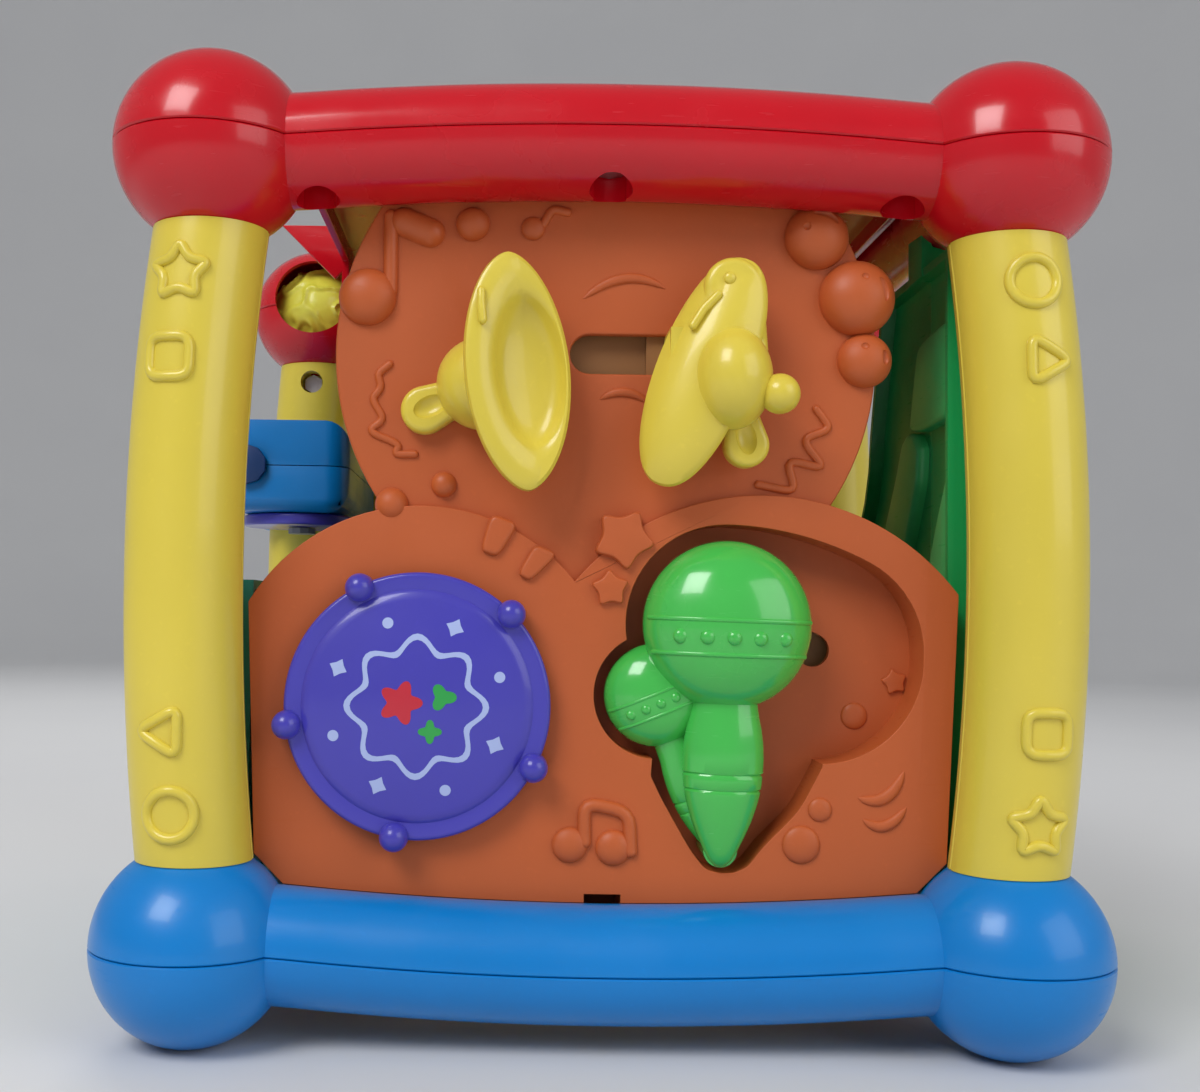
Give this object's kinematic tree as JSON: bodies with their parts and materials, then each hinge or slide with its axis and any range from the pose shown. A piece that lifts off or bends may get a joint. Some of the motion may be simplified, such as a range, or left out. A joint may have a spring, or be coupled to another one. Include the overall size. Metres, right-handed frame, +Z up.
{
  "type": "activity cube",
  "caption": "Baby activity cube of ball-and-bar rings and bowed posts, with panels that carry a drum button, clapping cymbals, swinging maracas, a spinner and a roller ball.",
  "frame": {"origin": "on the floor under the middle of the cube", "axes": "+Z up, -Y out of the front panel, +X to the viewer's right of that panel"},
  "size_m": [0.272, 0.272, 0.2683],
  "materials": {
    "red": "glossy moulded plastic",
    "blue": "glossy moulded plastic",
    "yellow": "satin moulded plastic",
    "orange": "satin moulded plastic",
    "purple": "glossy moulded plastic",
    "green": "glossy moulded plastic",
    "leaf_green": "glossy moulded plastic",
    "teal": "satin moulded plastic",
    "lime": "satin moulded plastic",
    "navy": "satin moulded plastic",
    "grey": "fine texture",
    "board": "lacquered board",
    "cell": "printed steel can",
    "steel": "zinc plated"
  },
  "bodies": {
    "frame": {"back_left_post_inner": "yellow", "back_left_post_outer": "yellow", "back_left_post_screw_lower": "steel", "back_left_post_screw_upper": "steel", "back_panel": "yellow", "back_right_post_inner": "yellow", "back_right_post_outer": "yellow", "back_right_post_screw_lower": "steel", "back_right_post_screw_upper": "steel", "base_ring_lower": "blue", "base_ring_upper": "blue", "base_screw_back": "steel", "base_screw_front": "steel", "base_screw_left": "steel", "base_screw_right": "steel", "battery_1": "cell", "battery_2": "cell", "battery_door": "grey", "battery_door_screw": "steel", "drum_spring": "steel", "drum_switch": "grey", "front_left_post_inner": "yellow", "front_left_post_outer": "yellow", "front_left_post_screw_lower": "steel", "front_left_post_screw_upper": "steel", "front_panel": "orange", "front_rear_cover": "grey", "front_right_post_inner": "yellow", "front_right_post_outer": "yellow", "front_right_post_screw_lower": "steel", "front_right_post_screw_upper": "steel", "left_bracket_cap": "navy", "left_bracket_lower": "blue", "left_bracket_upper": "blue", "left_cymbal": "yellow", "left_panel": "teal", "left_spinner_axle": "grey", "maraca_pivot_pin": "grey", "right_panel": "leaf_green", "roller_axle": "grey", "sound_board": "board", "speaker": "cell", "top_panel": "red", "top_ring_lower": "red", "top_ring_upper": "red", "top_screw_back": "steel", "top_screw_front": "steel", "top_screw_right": "steel"},
    "drum": {"drum_head": "purple"},
    "right_cymbal": {"right_cymbal": "yellow", "cymbal_slider": "grey"},
    "maracas": {"maracas": "green", "maraca_guide_clip": "grey"},
    "left_spinner": {"left_spinner": "purple"},
    "roller_ball": {"roller_ball": "lime"}
  },
  "joints": [
    {"name": "drum_press", "type": "slide", "parent": "frame", "child": "drum", "axis": [0, 1, 0], "range_m": [0, 0.0023], "stiffness_N_per_m": 500, "deforming": ["drum_spring"]},
    {"name": "cymbal_slide", "type": "slide", "parent": "frame", "child": "right_cymbal", "axis": [-1, 0, 0], "range_m": [0, 0.015]},
    {"name": "maraca_swing", "type": "hinge", "parent": "frame", "child": "maracas", "pos_m": [0.0324, -0.104, 0.0524], "axis": [0, 1, 0], "range_deg": [0, 26]},
    {"name": "spinner_turn", "type": "hinge", "parent": "frame", "child": "left_spinner", "pos_m": [-0.102, 0.025, 0.1477], "axis": [0, 0, 1], "continuous": true},
    {"name": "roller_turn", "type": "hinge", "parent": "frame", "child": "roller_ball", "pos_m": [-0.109, 0.109, 0.2413], "axis": [1, 0, 0], "continuous": true}
  ]
}
